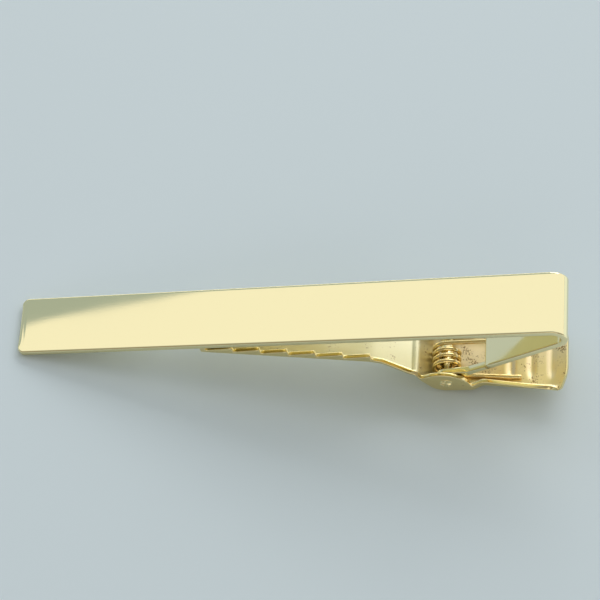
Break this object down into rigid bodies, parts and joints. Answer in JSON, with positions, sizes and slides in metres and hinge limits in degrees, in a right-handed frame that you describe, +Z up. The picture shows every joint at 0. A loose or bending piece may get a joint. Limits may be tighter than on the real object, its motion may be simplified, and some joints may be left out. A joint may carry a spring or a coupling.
{
  "type": "tie clip",
  "caption": "Sprung tie clip: a plain folded front bar with a hinged lever behind it, toothed at the jaw and pressed at the tab to open.",
  "frame": {"origin": "middle of the clip's box, on the table that it rests on with its front face up", "axes": "+X along the clip from the bar's tip to its fold, +Y across the bar, +Z up"},
  "size_m": [0.052, 0.0078, 0.0125],
  "materials": {
    "bar_gold": "polished, gold coloured",
    "lever_gold": "polished, gold coloured",
    "pin_gold": "polished, gold coloured",
    "spring_wire": "drawn wire, gold coloured"
  },
  "bodies": {
    "bar": {"front_bar": "bar_gold", "torsion_spring": "spring_wire"},
    "lever": {"clip_lever": "lever_gold", "hinge_pin": "pin_gold"}
  },
  "joints": [
    {"name": "lever_hinge", "type": "hinge", "parent": "bar", "child": "lever", "pos_m": [0.01454, 0, 0.00187], "axis": [0, -1, 0], "range_deg": [0, 20], "stiffness_Nm_per_rad": 0.0085, "springref_deg": -34.38, "deforming": ["torsion_spring"]}
  ]
}
